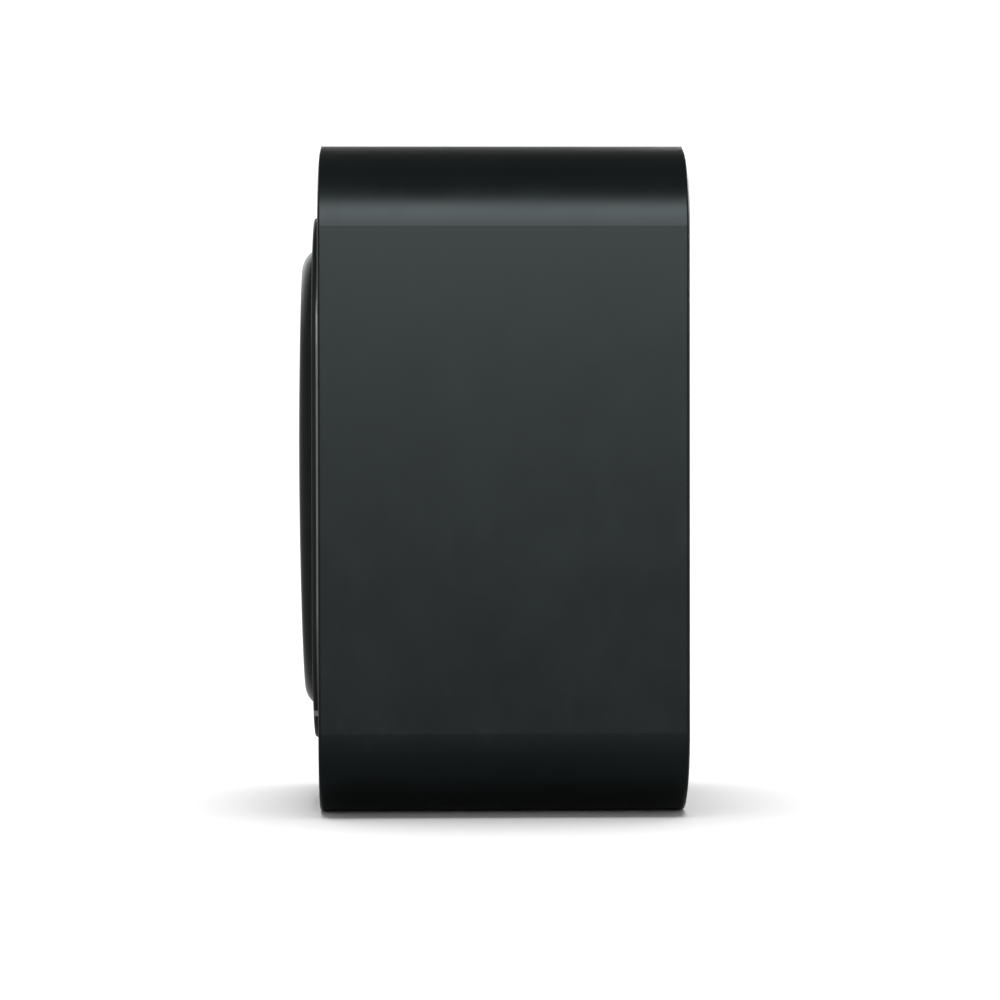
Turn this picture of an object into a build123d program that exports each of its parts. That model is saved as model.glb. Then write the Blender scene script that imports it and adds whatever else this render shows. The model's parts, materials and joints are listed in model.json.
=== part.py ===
"""Wall mounted soap dispenser with a push paddle, in millimetres.

The origin is on the wall, at the centre of the four wall screws. +Z is up, +X is the latch side,
and the dispenser reaches out from the wall along -Y. Most pieces are drawn on planes parallel to
the wall, so "depth" below always means the distance from the wall plane, which is -Y.
"""

import os
from math import sqrt

from build123d import *

# ---------------------------------------------------------------- driving sizes
# Housing sleeve: an open tube with large corners, seen from the front as a rounded rectangle.
BODY_W = 112.0
BODY_H = 210.0
BODY_D = 115.4
CORNER_R = 26.5
WALL = 2.5
EDGE_R = 1.0

# Front door: a panel inset in the sleeve's mouth, on a vertical axis near its -X edge.
DOOR_GAP = 0.5
DOOR_FRONT = BODY_D - 0.3
DOOR_T = 3.0
DOOR_BACK = DOOR_FRONT - DOOR_T
HINGE_X = -42.0
HINGE_DEPTH = DOOR_FRONT - DOOR_T / 2
HINGE_PIN_R = 0.9
HINGE_NOTCH = (-36.5, 96.5)
KNUCKLE_Z = 97.0

# Bezel and trim ring: vertical slots (half height, half width) round the paddle.
BEZEL_OUT = (84.1, 42.0)
BEZEL_IN = (75.0, 32.0)
COLLAR_OUT = (78.6, 35.6)
TRIM_FRONT = BODY_D + 0.9
BEZEL_FRONT = BODY_D + 2.3
COLLAR_BACK = 107.0

# Push paddle: a crowned cap screwed to a ribbed carrier that hangs on a pin at its top.
PADDLE = (74.4, 31.4)
PADDLE_WALL = 2.4
PADDLE_BACK = 111.0
PADDLE_EDGE = 118.0
CROWN_FRONT = BODY_D + 7.1
CROWN_R_Z = 1800.0
CROWN_MID_Z = 8.0
CROWN_SAG_X = 0.7
CROWN_HALF = 34.0
CROWN_TURN = 3.2
PADDLE_EDGE_R = 7.0
PIVOT_Z = 63.9
PIVOT_DEPTH = 107.0
PIVOT_PIN_R = 1.5

# Pump: a horizontal plunger under the bottle.
PUMP_Z = -62.0
PUMP_DEPTH = 57.0
BORE_R = 6.0
CYLINDER_R = 8.5
STEM_R = 3.5
GLAND_FRONT = 84.0
HEAD_BACK = 104.0
HEAD_R = 9.0
HEAD_DOME_R = 25.0
HEAD_FRONT = 107.5

# Bottle and the shelf that it stands on.
BOTTLE_W = 90.0
BOTTLE_BACK = 8.0
BOTTLE_FRONT = 92.0
BOTTLE_LOW = -30.8
BOTTLE_TOP = 85.0
BOTTLE_WALL = 1.4
NECK_R = 16.5
NECK_END = -46.0
SHELF_TOP = -31.0
SHELF_T = 3.0

# Back plate and its screws.
PLATE_T = 3.0
WALL_HOLE_R = 2.6
WALL_HOLES = (64.0, 140.0)

# Lock, at the top of the door.
LOCK_Z = 91.0
BUSH_R = 4.5
PLUG_R = 3.0
CAM_DEPTH = 104.2
CAM_T = 1.5

# ---------------------------------------------------------------- derived sizes
HALF_W = BODY_W / 2
HALF_H = BODY_H / 2
INNER_W = BODY_W - 2 * WALL
INNER_H = BODY_H - 2 * WALL
INNER_R = CORNER_R - WALL
DOOR_W = INNER_W - 2 * DOOR_GAP
DOOR_H = INNER_H - 2 * DOOR_GAP
DOOR_R = INNER_R - DOOR_GAP
CORNER_X = HALF_W - CORNER_R
CORNER_Z = HALF_H - CORNER_R
BOSS_OUT = 19.0 / sqrt(2)
BOSS_X = CORNER_X + BOSS_OUT
BOSS_Z = CORNER_Z + BOSS_OUT
PISTON_FRONT = 79.0
PISTON_BACK = 71.0
CLIP_X = 22.5
CLIP_Z = -74.4
CLIP_H = 1.9
MAGNET_X = 47.5
MAGNET_R = 3.0
MAGNET_BACK = 110.5
SHELF_SCREWS = [(x, z) for x in (-20.0, 20.0) for z in (-56.0, -40.0)]


def at_depth(depth):
    """The plane parallel to the wall at that depth, facing the user, with Z up."""
    return Plane.XZ.offset(depth)


def slot_prism(halves, near, far, mode=Mode.ADD):
    """A vertical slot outline, given as (half height, half width), between two depths."""
    half_h, half_w = halves
    with BuildSketch(at_depth(near)) as sketch:
        SlotOverall(2 * half_h, 2 * half_w, rotation=90)
    extrude(sketch.sketch, amount=far - near, mode=mode)


def panel_prism(width, height, radius, near, far, mode=Mode.ADD):
    """A rounded rectangle centred on the origin, between two depths."""
    with BuildSketch(at_depth(near)) as sketch:
        RectangleRounded(width, height, radius)
    extrude(sketch.sketch, amount=far - near, mode=mode)


def block(x0, x1, near, far, z0, z1, mode=Mode.ADD):
    """A box from its limits in X, depth and Z."""
    with Locations(((x0 + x1) / 2, -(near + far) / 2, (z0 + z1) / 2)):
        Box(x1 - x0, far - near, z1 - z0, mode=mode)


def peg(x, z, radius, near, far, mode=Mode.ADD):
    """A cylinder square to the wall, between two depths."""
    with BuildSketch(at_depth(near)) as sketch:
        with Locations((x, z)):
            Circle(radius)
    extrude(sketch.sketch, amount=far - near, mode=mode)


def post(x, depth, radius, z0, z1, mode=Mode.ADD):
    """A vertical cylinder between two heights."""
    with BuildSketch(Plane.XY.offset(z0)) as sketch:
        with Locations((x, -depth)):
            Circle(radius)
    extrude(sketch.sketch, amount=z1 - z0, mode=mode)


def rod(depth, z, radius, x0, x1, mode=Mode.ADD):
    """A cylinder along X between two ends."""
    with BuildSketch(Plane.YZ.offset(x0)) as sketch:
        with Locations((-depth, z)):
            Circle(radius)
    extrude(sketch.sketch, amount=x1 - x0, mode=mode)


def cross_recess(x, z, reach, half_width, near, far):
    """A cross-shaped driver recess cut into a screw head, between two depths."""
    block(x - reach, x + reach, near, far, z - half_width, z + half_width, mode=Mode.SUBTRACT)
    block(x - half_width, x + half_width, near, far, z - reach, z + reach, mode=Mode.SUBTRACT)


def corners(half_x, half_z):
    """The four points at plus and minus both distances."""
    return [(sx * half_x, sz * half_z) for sx in (-1, 1) for sz in (-1, 1)]


def keep(builder, name):
    """Labels a finished piece and writes its STEP file."""
    builder.part.label = name
    export_step(builder.part, f"parts/{name}.step")


os.makedirs("parts", exist_ok=True)

# ================================================================ housing
# The sleeve: tube, four rear screw bosses, two hinge knuckles, two strike ledges, a lock rib
# that hangs from the roof, and the outlet hole in the floor.
REAR_GAP = 0.3
BOSS_R = 5.4
BOSS_TOP = 16.0
LEDGE_Z = 55.0
LEDGE_HALF = 6.0
LEDGE_X = 45.5
STRIKE_FRONT = 110.2
STRIKE_T = 0.8
RIB_LOW = 98.5
RIB_DEPTHS = (106.0, 108.5)
OUTLET_R = 15.0

with BuildPart() as sleeve:
    panel_prism(BODY_W, BODY_H, CORNER_R, REAR_GAP, BODY_D)
    rims = sleeve.faces().filter_by(Axis.Y).edges()
    fillet(rims, EDGE_R)
    panel_prism(INNER_W, INNER_H, INNER_R, REAR_GAP, BODY_D, mode=Mode.SUBTRACT)
    for x, z in corners(BOSS_X, BOSS_Z):
        peg(x, z, BOSS_R, PLATE_T + 0.2, BOSS_TOP)
    for side in (-1, 1):
        block(HINGE_X - 2.6, HINGE_X + 2.6, HINGE_DEPTH - 4.5, DOOR_FRONT,
              *sorted((side * KNUCKLE_Z, side * (HALF_H - 3))))
        block(LEDGE_X, HALF_W - 1, 103.0, STRIKE_FRONT - STRIKE_T,
              side * LEDGE_Z - LEDGE_HALF, side * LEDGE_Z + LEDGE_HALF)
    block(-8, 8, *RIB_DEPTHS, RIB_LOW, HALF_H - 1)
    post(0, PUMP_DEPTH, OUTLET_R, -HALF_H - 1, -HALF_H + WALL + 1, mode=Mode.SUBTRACT)
    # Everything added above stays inside the sleeve's outer surface.
    with BuildSketch(at_depth(0)) as outline:
        RectangleRounded(BODY_W, BODY_H, CORNER_R)
    extrude(outline.sketch, amount=BODY_D, mode=Mode.INTERSECT)
    for x, z in corners(BOSS_X, BOSS_Z):
        peg(x, z, 1.25, PLATE_T, BOSS_TOP - 2, mode=Mode.SUBTRACT)
    for side in (-1, 1):
        post(HINGE_X, HINGE_DEPTH, HINGE_PIN_R + 0.07, *sorted((side * 90.0, side * 100.5)),
             mode=Mode.SUBTRACT)
keep(sleeve, "housing_sleeve")

# The back plate closes the sleeve's rear and is what the wall screws hold.
PLATE_GAP = 0.3
RIM_TOP = 7.0
RIM_T = 1.6

with BuildPart() as back_plate:
    plate_size = (INNER_W - 2 * PLATE_GAP, INNER_H - 2 * PLATE_GAP, INNER_R - PLATE_GAP)
    panel_prism(*plate_size, 0, PLATE_T)
    panel_prism(*plate_size, PLATE_T, RIM_TOP)
    panel_prism(plate_size[0] - 2 * RIM_T, plate_size[1] - 2 * RIM_T, plate_size[2] - RIM_T,
                PLATE_T, RIM_TOP, mode=Mode.SUBTRACT)
    for x, z in corners(BOSS_X, BOSS_Z):
        peg(x, z, BOSS_R + 0.3, PLATE_T, RIM_TOP, mode=Mode.SUBTRACT)
    # Stiffening ribs between the wall holes.
    for x in (-14.0, 14.0):
        block(x - 0.8, x + 0.8, PLATE_T, PLATE_T + 2.5, -28, 88)
    # Wall screw holes, with a raised pad round each.
    for x, z in corners(WALL_HOLES[0] / 2, WALL_HOLES[1] / 2):
        peg(x, z, 7.0, PLATE_T, PLATE_T + 1.5)
        peg(x, z, WALL_HOLE_R, 0, PLATE_T + 1.5, mode=Mode.SUBTRACT)
    # Countersunk holes for the sleeve's screws, opening on the rear.
    for x, z in corners(BOSS_X, BOSS_Z):
        peg(x, z, 1.6, 0, PLATE_T, mode=Mode.SUBTRACT)
        with Locations(Plane(origin=(x, -0.85, z), z_dir=(0, 1, 0))):
            Cone(1.5, 3.2, 1.7, mode=Mode.SUBTRACT)
    # Blind screw holes for the bottle shelf.
    for x, z in SHELF_SCREWS:
        peg(x, z, 1.2, 0.6, PLATE_T, mode=Mode.SUBTRACT)
keep(back_plate, "back_plate")


def countersunk_screw(x, z):
    """One housing screw, driven from the rear into the sleeve's boss."""
    with BuildSketch(Plane.XY) as half:
        with BuildLine():
            Polyline((0, -0.1), (2.9, -0.1), (2.9, -0.3), (1.2, -1.9), (1.2, -13), (0, -13), close=True)
        make_face()
    turned = revolve(half.sketch, axis=Axis.Y, mode=Mode.PRIVATE)
    add(turned.moved(Location((x, 0, z))))
    cross_recess(x, z, 1.7, 0.35, 0.1, 1.0)


with BuildPart() as housing_screws:
    for x, z in corners(BOSS_X, BOSS_Z):
        countersunk_screw(x, z)
keep(housing_screws, "housing_screws")

# Steel strike plates that the door's magnets pull on.
with BuildPart() as strike_plates:
    for side in (-1, 1):
        block(LEDGE_X + 0.3, LEDGE_X + 6.5, STRIKE_FRONT - STRIKE_T, STRIKE_FRONT,
              side * LEDGE_Z - 4.5, side * LEDGE_Z + 4.5)
keep(strike_plates, "strike_plates")

# The ring that lines the outlet hole in the sleeve's floor.
FLOOR_IN = -HALF_H + WALL
with BuildPart() as outlet_trim:
    post(0, PUMP_DEPTH, OUTLET_R - 0.15, -HALF_H + 0.2, FLOOR_IN + 1.2)
    post(0, PUMP_DEPTH, OUTLET_R + 3, FLOOR_IN, FLOOR_IN + 1.2)
    post(0, PUMP_DEPTH, OUTLET_R - 2.5, -HALF_H, FLOOR_IN + 2, mode=Mode.SUBTRACT)
    inner_low = outlet_trim.edges().filter_by(GeomType.CIRCLE).group_by(Axis.Z)[0]
    fillet(inner_low, 0.6)
keep(outlet_trim, "outlet_trim")

# ================================================================ bottle shelf
SHELF_FRONT = 90.0
with BuildPart() as shelf:
    block(-48, 48, PLATE_T, SHELF_FRONT, SHELF_TOP - SHELF_T, SHELF_TOP)
    fillet(shelf.edges().filter_by(Axis.Z).group_by(Axis.Y)[0], 8)
    # Low walls that hold the bottle sideways.
    for side in (-1, 1):
        block(*sorted((side * 46.2, side * 48)), 7.5, SHELF_FRONT - 8, SHELF_TOP, SHELF_TOP + 16)
    # Mounting flange on the back plate.
    block(-26, 26, PLATE_T, PLATE_T + 3, -62, SHELF_TOP)
    # Gussets under the shelf.
    for side in (-1, 1):
        with BuildSketch(Plane.YZ.offset(side * 39 - 1)) as gusset:
            with BuildLine():
                Polyline((-PLATE_T, -64), (-PLATE_T, -33), (-82, -33), (-82, -38), (-12, -64), close=True)
            make_face()
        extrude(gusset.sketch, amount=2)
    # Neck slot, open at the front so that the bottle slides in.
    post(0, PUMP_DEPTH, NECK_R + 1.2, SHELF_TOP - SHELF_T - 1, SHELF_TOP + 1, mode=Mode.SUBTRACT)
    block(-NECK_R - 1.2, NECK_R + 1.2, PUMP_DEPTH, SHELF_FRONT + 1,
          SHELF_TOP - SHELF_T - 1, SHELF_TOP + 1, mode=Mode.SUBTRACT)
    for x, z in SHELF_SCREWS:
        peg(x, z, 1.6, PLATE_T - 1, PLATE_T + 4, mode=Mode.SUBTRACT)
keep(shelf, "bottle_shelf")

with BuildPart() as shelf_screws:
    for x, z in SHELF_SCREWS:
        peg(x, z, 1.2, 0.8, PLATE_T + 3)
        peg(x, z, 2.8, PLATE_T + 3, PLATE_T + 4.8)
        cross_recess(x, z, 1.7, 0.35, PLATE_T + 4.0, PLATE_T + 5)
keep(shelf_screws, "shelf_screws")

# ================================================================ bottle
BOTTLE_D = BOTTLE_FRONT - BOTTLE_BACK
BOTTLE_MID = (BOTTLE_FRONT + BOTTLE_BACK) / 2
BOTTLE_R = 14.0
SHOULDER_R = 7.0
VENT = (0.0, 26.0)


def bottle_form(inset):
    """The bottle's closed body, shrunk by inset on every side."""
    with BuildPart(mode=Mode.PRIVATE) as form:
        with BuildSketch(Plane.XY.offset(BOTTLE_LOW + inset)):
            with Locations((0, -BOTTLE_MID)):
                RectangleRounded(BOTTLE_W - 2 * inset, BOTTLE_D - 2 * inset, BOTTLE_R - inset)
        extrude(amount=BOTTLE_TOP - BOTTLE_LOW - 2 * inset)
        ends = form.faces().filter_by(Axis.Z).edges()
        fillet(ends, SHOULDER_R - inset)
    return form.part


with BuildPart() as bottle:
    add(bottle_form(0))
    post(0, PUMP_DEPTH, NECK_R, NECK_END, BOTTLE_LOW + 3)
    add(bottle_form(BOTTLE_WALL), mode=Mode.SUBTRACT)
    post(0, PUMP_DEPTH, NECK_R - 3, NECK_END - 1, BOTTLE_LOW + 5, mode=Mode.SUBTRACT)
    post(VENT[0], VENT[1], 2.0, BOTTLE_TOP - 4, BOTTLE_TOP + 1, mode=Mode.SUBTRACT)
keep(bottle, "soap_bottle")

with BuildPart() as vent_valve:
    post(*VENT, 1.95, BOTTLE_TOP - 3.2, BOTTLE_TOP)
    post(*VENT, 4.0, BOTTLE_TOP, BOTTLE_TOP + 1.4)
    post(*VENT, 3.0, BOTTLE_TOP - 3.2, BOTTLE_TOP - BOTTLE_WALL - 0.1)
    post(*VENT, 0.6, BOTTLE_TOP - 4, BOTTLE_TOP + 2, mode=Mode.SUBTRACT)
keep(vent_valve, "vent_valve")

# ================================================================ pump
SEAL_T = 1.2
FLANGE_TOP = NECK_END - SEAL_T
FLANGE_LOW = FLANGE_TOP - 2.5
NUT_LOW = FLANGE_LOW - 1.8
NUT_TOP = -36.0

with BuildPart() as neck_seal:
    post(0, PUMP_DEPTH, NECK_R - 0.3, FLANGE_TOP, NECK_END)
    post(0, PUMP_DEPTH, NECK_R - 4, FLANGE_TOP - 1, NECK_END + 1, mode=Mode.SUBTRACT)
keep(neck_seal, "neck_seal")

# The union nut clamps the pump's flange to the bottle's neck.
with BuildPart() as union_nut:
    post(0, PUMP_DEPTH, 21, NUT_LOW, NUT_TOP)
    fillet(union_nut.faces().sort_by(Axis.Z)[0].edges(), 1.0)
    post(0, PUMP_DEPTH, NECK_R + 0.2, FLANGE_LOW, NUT_TOP + 1, mode=Mode.SUBTRACT)
    post(0, PUMP_DEPTH, 9, NUT_LOW - 1, FLANGE_LOW + 1, mode=Mode.SUBTRACT)
    with Locations((0, -PUMP_DEPTH, (NUT_LOW + NUT_TOP) / 2 + 1)):
        with PolarLocations(21.4, 30):
            Cylinder(0.9, NUT_TOP - NUT_LOW - 4, mode=Mode.SUBTRACT)
keep(union_nut, "union_nut")

# The pump body: flange and inlet above, cylinder along the depth, outlet spigot below.
SPIGOT_LOW = -79.0
with BuildPart() as pump_body:
    post(0, PUMP_DEPTH, NECK_R - 0.4, FLANGE_LOW, FLANGE_TOP)
    post(0, PUMP_DEPTH, 7, PUMP_Z, FLANGE_LOW)
    peg(0, PUMP_Z, CYLINDER_R, 49.0, 81.0)
    post(0, PUMP_DEPTH, 6, SPIGOT_LOW, PUMP_Z)
    for x in (-1, 1):
        block(*sorted((x * 6.0, x * 7.5)), 53, 61, FLANGE_LOW - 6.5, FLANGE_LOW + 1)
    peg(0, PUMP_Z, BORE_R, 51.5, 81.5, mode=Mode.SUBTRACT)
    post(0, PUMP_DEPTH, 3.5, PUMP_Z, FLANGE_TOP + 1, mode=Mode.SUBTRACT)
    post(0, PUMP_DEPTH, 10, FLANGE_TOP - 1.2, FLANGE_TOP + 1, mode=Mode.SUBTRACT)
    post(0, PUMP_DEPTH, 2.5, SPIGOT_LOW - 1, PUMP_Z, mode=Mode.SUBTRACT)
keep(pump_body, "pump_body")

# Inlet valve: a silicone disc with a slotted dome, held in the flange's recess.
with BuildPart() as inlet_valve:
    post(0, PUMP_DEPTH, 9.7, FLANGE_TOP - 1.1, FLANGE_TOP - 0.1)
    post(0, PUMP_DEPTH, 3.2, FLANGE_TOP - 5, FLANGE_TOP - 0.6)
    post(0, PUMP_DEPTH, 1.2, FLANGE_TOP - 4.2, FLANGE_TOP + 1, mode=Mode.SUBTRACT)
    block(-2.6, 2.6, PUMP_DEPTH - 0.2, PUMP_DEPTH + 0.2, FLANGE_TOP - 6, FLANGE_TOP - 4, mode=Mode.SUBTRACT)
keep(inlet_valve, "inlet_valve")

# Gland: the ribbed cap on the cylinder's front that guides the plunger's stem.
with BuildPart() as pump_gland:
    peg(0, PUMP_Z, 10, 76.0, GLAND_FRONT)
    fillet(pump_gland.faces().sort_by(Axis.Y)[0].edges(), 0.8)
    peg(0, PUMP_Z, CYLINDER_R + 0.05, 75, 81.0, mode=Mode.SUBTRACT)
    peg(0, PUMP_Z, STEM_R + 0.1, 80, GLAND_FRONT + 1, mode=Mode.SUBTRACT)
    with BuildSketch(at_depth(75)) as ribs:
        with Locations((0, PUMP_Z)):
            with PolarLocations(10.2, 18):
                Circle(0.7)
    extrude(ribs.sketch, amount=GLAND_FRONT - 77, mode=Mode.SUBTRACT)
keep(pump_gland, "pump_gland")

# Plunger: piston with a seal groove, stem, and a domed head that the paddle's pad pushes.
SEAL_MID = 74.5
with BuildPart() as plunger:
    peg(0, PUMP_Z, BORE_R - 0.15, PISTON_BACK, PISTON_FRONT)
    peg(0, PUMP_Z, STEM_R, PISTON_FRONT, HEAD_BACK)
    peg(0, PUMP_Z, HEAD_R, HEAD_BACK, HEAD_FRONT)
    dome_centre = -(HEAD_FRONT - HEAD_DOME_R)
    with Locations((0, dome_centre, PUMP_Z)):
        dome = Sphere(HEAD_DOME_R, mode=Mode.PRIVATE)
    stem_side = Box(60, 60, 60, mode=Mode.PRIVATE).moved(Location((0, -HEAD_BACK + 28, PUMP_Z)))
    add(dome + stem_side, mode=Mode.INTERSECT)
    with BuildSketch(at_depth(SEAL_MID - 1)) as groove:
        with Locations((0, PUMP_Z)):
            Circle(BORE_R + 1)
            Circle(4.4, mode=Mode.SUBTRACT)
    extrude(groove.sketch, amount=2, mode=Mode.SUBTRACT)
keep(plunger, "pump_plunger")

with BuildPart() as piston_seal:
    peg(0, PUMP_Z, BORE_R - 0.03, SEAL_MID - 0.95, SEAL_MID + 0.95)
    fillet(piston_seal.edges().filter_by(GeomType.CIRCLE), 0.5)
    peg(0, PUMP_Z, 4.45, SEAL_MID - 2, SEAL_MID + 2, mode=Mode.SUBTRACT)
keep(piston_seal, "piston_seal")

# Return spring on the stem, between the gland and the head.
SPRING_WIRE = 1.1
SPRING_R = 6.0
SPRING_TURNS = 6.5
SPRING_LENGTH = HEAD_BACK - GLAND_FRONT - SPRING_WIRE - 0.2
with BuildPart() as plunger_spring:
    coil_start = (0, -GLAND_FRONT - SPRING_WIRE / 2 - 0.1, PUMP_Z)
    with BuildLine() as coil:
        Helix(SPRING_LENGTH / SPRING_TURNS, SPRING_LENGTH, SPRING_R, center=coil_start, direction=(0, -1, 0))
    with BuildSketch(Plane(origin=coil.line @ 0, z_dir=coil.line % 0)) as wire:
        Circle(SPRING_WIRE / 2)
    sweep(wire.sketch, path=coil.line, is_frenet=True)
keep(plunger_spring, "plunger_spring")

# Outlet valve and nozzle: the nozzle pushes over the spigot and ends just inside the floor.
NOZZLE_LOW = -103.3
NOZZLE_TOP = -71.5
with BuildPart() as nozzle:
    with BuildSketch(Plane.XZ) as half_nozzle:
        with BuildLine():
            Polyline((0, NOZZLE_TOP), (8.2, NOZZLE_TOP), (8.2, -80), (6.2, -86), (4.6, NOZZLE_LOW),
                     (0, NOZZLE_LOW), close=True)
        make_face()
    revolve(half_nozzle.sketch, axis=Axis.Z)
    fillet(nozzle.edges().filter_by(GeomType.CIRCLE).group_by(Axis.Z)[0], 0.8)
    post(0, 0, 6.05, SPIGOT_LOW - 0.1, NOZZLE_TOP + 1, mode=Mode.SUBTRACT)
    post(0, 0, 3.6, -90, SPIGOT_LOW, mode=Mode.SUBTRACT)
    post(0, 0, 2.2, NOZZLE_LOW - 1, -89, mode=Mode.SUBTRACT)
nozzle.part = nozzle.part.moved(Location((0, -PUMP_DEPTH, 0)))
keep(nozzle, "outlet_nozzle")

with BuildPart() as outlet_valve:
    post(0, PUMP_DEPTH, 3.4, SPIGOT_LOW - 1.2, SPIGOT_LOW - 0.2)
    with BuildSketch(Plane.XY.offset(SPIGOT_LOW - 1.2)) as valve_root:
        with Locations((0, -PUMP_DEPTH)):
            Circle(2.9)
    with BuildSketch(Plane.XY.offset(SPIGOT_LOW - 7.5)) as valve_lips:
        with Locations((0, -PUMP_DEPTH)):
            Ellipse(2.9, 0.9)
    loft(sections=[valve_root.sketch, valve_lips.sketch])
    post(0, PUMP_DEPTH, 1.6, SPIGOT_LOW - 4, SPIGOT_LOW, mode=Mode.SUBTRACT)
    block(-2.0, 2.0, PUMP_DEPTH - 0.15, PUMP_DEPTH + 0.15, SPIGOT_LOW - 8, SPIGOT_LOW - 3, mode=Mode.SUBTRACT)
keep(outlet_valve, "outlet_valve")

# ================================================================ front door
RIB_INSET = 9.0
RIB_T = 1.8
RIB_BACK = 108.6
with BuildPart() as door:
    panel_prism(DOOR_W, DOOR_H, DOOR_R, DOOR_BACK, DOOR_FRONT)
    fillet(door.faces().sort_by(Axis.Y)[0].edges(), 0.4)
    # Stiffening rib behind the panel, set in from the edge.
    panel_prism(DOOR_W - 2 * RIB_INSET, DOOR_H - 2 * RIB_INSET, DOOR_R - RIB_INSET, RIB_BACK, DOOR_BACK)
    inset = RIB_INSET + RIB_T
    panel_prism(DOOR_W - 2 * inset, DOOR_H - 2 * inset, DOOR_R - inset, RIB_BACK, DOOR_BACK,
                mode=Mode.SUBTRACT)
    slot_prism((COLLAR_OUT[0] + 0.2, COLLAR_OUT[1] + 0.2), RIB_BACK - 1, DOOR_FRONT + 1, mode=Mode.SUBTRACT)
    # Room for the sleeve's hinge knuckles, then a boss below each for the hinge pin.
    for side in (-1, 1):
        block(-HALF_W, HINGE_NOTCH[0], RIB_BACK - 1, DOOR_FRONT + 1,
              *sorted((side * HINGE_NOTCH[1], side * HALF_H)), mode=Mode.SUBTRACT)
        block(HINGE_X - 2.2, HINGE_X + 2.2, HINGE_DEPTH - 2.2, DOOR_BACK + 0.5,
              *sorted((side * (HINGE_NOTCH[1] - 10), side * HINGE_NOTCH[1])))
        post(HINGE_X, HINGE_DEPTH, HINGE_PIN_R, *sorted((side * (HINGE_NOTCH[1] - 8), side * HALF_H)),
             mode=Mode.SUBTRACT)
    # Lock hole, with the rib cleared round its nut.
    peg(0, LOCK_Z, 8.0, RIB_BACK - 1, DOOR_BACK, mode=Mode.SUBTRACT)
    peg(0, LOCK_Z, BUSH_R, DOOR_BACK - 1, DOOR_FRONT + 1, mode=Mode.SUBTRACT)
    peg(0, LOCK_Z, BUSH_R + 1.2, DOOR_FRONT - 0.9, DOOR_FRONT + 1, mode=Mode.SUBTRACT)
    # Slots for the bezel's clips.
    for side in (-1, 1):
        block(side * CLIP_X - 2.0, side * CLIP_X + 2.0, RIB_BACK - 1, DOOR_FRONT + 1,
              CLIP_Z - CLIP_H / 2 - 0.1, CLIP_Z + CLIP_H / 2 + 0.1, mode=Mode.SUBTRACT)
    # Cups that hold the magnets.
    for side in (-1, 1):
        peg(MAGNET_X, side * LEDGE_Z, MAGNET_R + 1.0, MAGNET_BACK + 0.4, DOOR_BACK)
        peg(MAGNET_X, side * LEDGE_Z, MAGNET_R + 0.05, MAGNET_BACK - 0.1, DOOR_BACK, mode=Mode.SUBTRACT)
keep(door, "front_door")

with BuildPart() as hinge_pins:
    for side in (-1, 1):
        post(HINGE_X, HINGE_DEPTH, HINGE_PIN_R, *sorted((side * (HINGE_NOTCH[1] - 8), side * 100.2)))
keep(hinge_pins, "hinge_pins")

with BuildPart() as door_magnets:
    for side in (-1, 1):
        peg(MAGNET_X, side * LEDGE_Z, MAGNET_R, MAGNET_BACK, DOOR_BACK)
keep(door_magnets, "door_magnets")

# ================================================================ bezel
with BuildPart() as trim_ring:
    slot_prism((BEZEL_OUT[0] - 0.2, BEZEL_OUT[1] - 0.2), DOOR_FRONT, TRIM_FRONT)
    slot_prism((COLLAR_OUT[0] + 0.2, COLLAR_OUT[1] + 0.2), DOOR_FRONT - 1, TRIM_FRONT + 1, mode=Mode.SUBTRACT)
    for side in (-1, 1):
        block(*sorted((side * (CLIP_X - 2.0), side * 30)), DOOR_FRONT - 1, TRIM_FRONT + 1,
              CLIP_Z - CLIP_H / 2 - 0.05, CLIP_Z + CLIP_H / 2 + 0.05, mode=Mode.SUBTRACT)
keep(trim_ring, "trim_ring")

EAR_X = (20.5, 27.0)
EAR_BACK = 103.5
EAR_FRONT = 108.8
SPRING_POST_BACK = 104.85
with BuildPart() as bezel:
    slot_prism(BEZEL_OUT, TRIM_FRONT, BEZEL_FRONT)
    fillet(bezel.faces().sort_by(Axis.Y)[0].edges(), 0.8)
    slot_prism(COLLAR_OUT, COLLAR_BACK, TRIM_FRONT)
    slot_prism(BEZEL_IN, COLLAR_BACK - 1, BEZEL_FRONT + 1, mode=Mode.SUBTRACT)
    mouth = bezel.faces().sort_by(Axis.Y)[0].inner_wires()[0].edges()
    fillet(mouth, 0.5)
    # Post for the torsion spring's upper leg.
    block(0.8, 4.4, SPRING_POST_BACK, COLLAR_BACK + 1, BEZEL_IN[0] - 0.5, BEZEL_IN[0] + 3)
    for side in (-1, 1):
        # Ears that carry the paddle's pivot pin.
        block(*sorted((side * EAR_X[0], side * EAR_X[1])), EAR_BACK, EAR_FRONT, PIVOT_Z - 3, PIVOT_Z + 3)
        rod(PIVOT_DEPTH, PIVOT_Z, PIVOT_PIN_R, *sorted((side * (EAR_X[0] - 1), side * 25.2)), mode=Mode.SUBTRACT)
        # Hooks behind the door's panel at the top.
        block(*sorted((side * 5, side * 13)), COLLAR_BACK, DOOR_BACK - 0.2, COLLAR_OUT[0] - 3, COLLAR_OUT[0] + 2.4)
        # Notches for the clips at the bottom.
        block(*sorted((side * (CLIP_X - 2.0), side * 30)), TRIM_FRONT - 1, BEZEL_FRONT + 1,
              CLIP_Z - CLIP_H / 2 - 0.05, CLIP_Z + CLIP_H / 2 + 0.05, mode=Mode.SUBTRACT)
keep(bezel, "bezel_ring")

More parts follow.
